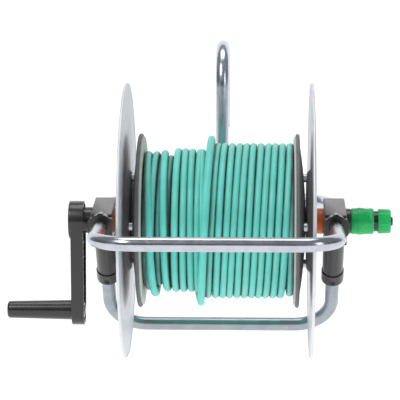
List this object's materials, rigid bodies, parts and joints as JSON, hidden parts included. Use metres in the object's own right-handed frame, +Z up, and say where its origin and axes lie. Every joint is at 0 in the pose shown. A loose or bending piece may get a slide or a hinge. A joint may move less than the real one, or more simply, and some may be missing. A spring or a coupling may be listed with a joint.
{
  "type": "garden hose reel",
  "caption": "Hand-cranked garden hose reel in a bent-tube frame that hangs by a hook mast, with pressed side discs, a wound hose and a quick connector.",
  "frame": {"origin": "middle of the straight hanging leg of the hook mast, on the leg's axis", "axes": "+X from the crank to the water inlet along the reel's axle, +Y to the back, +Z up"},
  "size_m": [0.502, 0.524, 0.399],
  "materials": {
    "galvanised_tube": "bright galvanised, smooth",
    "galvanised_disc": "bright pressed sheet",
    "black_plastic": "satin moulded",
    "grey_plastic": "matte moulded",
    "pale_plastic": "matte",
    "orange_plastic": "satin moulded",
    "green_plastic": "satin moulded",
    "zinc_fastener": "zinc plated",
    "seal_rubber": "matte",
    "hose": "smooth soft",
    "natural_plastic": "satin"
  },
  "bodies": {
    "frame": {"left_block": "black_plastic", "right_block": "black_plastic", "rear_loop": "galvanised_tube", "lower_loop": "galvanised_tube", "hook_mast": "galvanised_tube", "hook_end_plug": "black_plastic", "mast_clamp_front": "black_plastic", "mast_clamp_rear": "black_plastic", "mast_clamp_bolts": "zinc_fastener", "mast_clamp_nuts": "zinc_fastener", "loop_screws": "zinc_fastener", "left_bush": "natural_plastic", "right_bush": "natural_plastic", "thrust_washers": "natural_plastic", "clamp_collets": "natural_plastic", "inlet_spigot": "black_plastic", "spigot_seals": "seal_rubber", "snap_ring": "zinc_fastener", "inlet_core": "black_plastic", "inlet_claws": "natural_plastic", "inlet_seal": "seal_rubber", "inlet_spring": "zinc_fastener", "inlet_collet": "natural_plastic"},
    "front_loop": {"front_loop": "galvanised_tube"},
    "ring_nut_left": {"ring_nut_left": "black_plastic"},
    "ring_nut_right": {"ring_nut_right": "black_plastic"},
    "reel": {"left_disc": "galvanised_disc", "right_disc": "galvanised_disc", "left_flange": "grey_plastic", "right_flange": "grey_plastic", "left_cheek": "pale_plastic", "right_cheek": "pale_plastic", "drum_core": "grey_plastic", "tie_rods": "zinc_fastener", "tie_nuts": "zinc_fastener", "spacer_sleeves": "galvanised_tube", "left_hub": "orange_plastic", "right_hub": "orange_plastic", "left_hub_collar": "orange_plastic", "right_hub_collar": "orange_plastic", "outlet_elbow": "black_plastic", "hose_coil": "hose", "hose_tail": "hose", "crank_arm": "black_plastic", "crank_screw": "zinc_fastener", "crank_cap": "black_plastic", "grip_pin": "zinc_fastener", "hose_end_core": "black_plastic", "hose_end_claws": "natural_plastic", "hose_end_seal": "seal_rubber", "hose_end_spring": "zinc_fastener", "hose_end_collet": "natural_plastic"},
    "grip": {"grip": "black_plastic", "grip_cap": "black_plastic"},
    "inlet_sleeve": {"inlet_release_sleeve": "green_plastic"},
    "inlet_nut": {"inlet_nut": "green_plastic"},
    "hose_end_sleeve": {"hose_end_release_sleeve": "green_plastic"},
    "hose_end_nut": {"hose_end_nut": "green_plastic"}
  },
  "joints": [
    {"name": "reel_turn", "type": "hinge", "parent": "frame", "child": "reel", "pos_m": [0, -0.305, -0.127], "axis": [1, 0, 0], "continuous": true},
    {"name": "grip_turn", "type": "hinge", "parent": "reel", "child": "grip", "pos_m": [-0.23, -0.305, -0.246], "axis": [1, 0, 0], "continuous": true},
    {"name": "front_loop_slide", "type": "slide", "parent": "frame", "child": "front_loop", "axis": [0, -1, 0], "range_m": [0, 0.03]},
    {"name": "left_ring_nut_turn", "type": "hinge", "parent": "frame", "child": "ring_nut_left", "pos_m": [-0.15, -0.357, -0.127], "axis": [0, -1, 0], "range_deg": [0, 270]},
    {"name": "right_ring_nut_turn", "type": "hinge", "parent": "frame", "child": "ring_nut_right", "pos_m": [0.15, -0.357, -0.127], "axis": [0, -1, 0], "range_deg": [0, 270]},
    {"name": "inlet_sleeve_slide", "type": "slide", "parent": "frame", "child": "inlet_sleeve", "axis": [1, 0, 0], "range_m": [0, 0.004], "stiffness_N_per_m": 1200, "springref_m": -0.003, "deforming": ["inlet_spring"]},
    {"name": "inlet_nut_turn", "type": "hinge", "parent": "frame", "child": "inlet_nut", "pos_m": [0.2134, -0.305, -0.127], "axis": [1, 0, 0], "range_deg": [0, 540]},
    {"name": "hose_end_sleeve_slide", "type": "slide", "parent": "reel", "child": "hose_end_sleeve", "axis": [0, 0.2588, -0.9659], "range_m": [0, 0.004], "stiffness_N_per_m": 1200, "springref_m": -0.003, "deforming": ["hose_end_spring"]},
    {"name": "hose_end_nut_turn", "type": "hinge", "parent": "reel", "child": "hose_end_nut", "pos_m": [-0.048, -0.19285, -0.1132], "axis": [0, 0.2588, -0.9659], "range_deg": [0, 540]}
  ]
}
